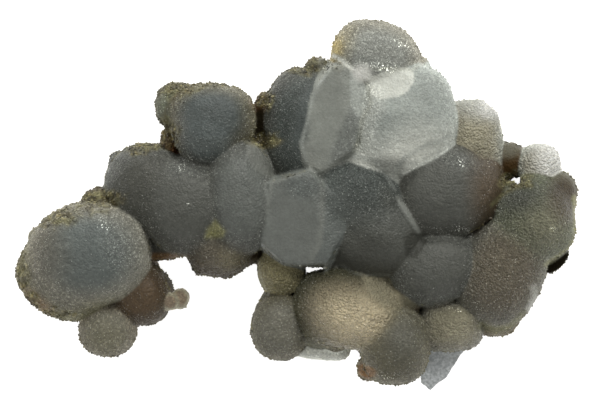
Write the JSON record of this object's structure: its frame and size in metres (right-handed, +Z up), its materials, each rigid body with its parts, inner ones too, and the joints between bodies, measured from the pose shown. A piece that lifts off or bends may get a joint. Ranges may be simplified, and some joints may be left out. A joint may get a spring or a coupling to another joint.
{
  "type": "botryoidal chalcedony specimen",
  "caption": "Natural plate of fused rounded chalcedony lobes with a fine sparkling skin and a thin clear blade at its rim, lying on its flat back.",
  "frame": {"origin": "under the middle of the specimen's bounding box, on the plane of its flat back", "axes": "+X along the specimen's length, towards the end with the pale bead; +Y towards the tall rounded crown; +Z up, out of the lobes"},
  "size_m": [0.1126, 0.0746, 0.0221],
  "materials": {
    "chalcedony_skin": "satin grey with a fine sparkling crust"
  },
  "bodies": {
    "root": {"chalcedony": "chalcedony_skin"}
  },
  "joints": []
}
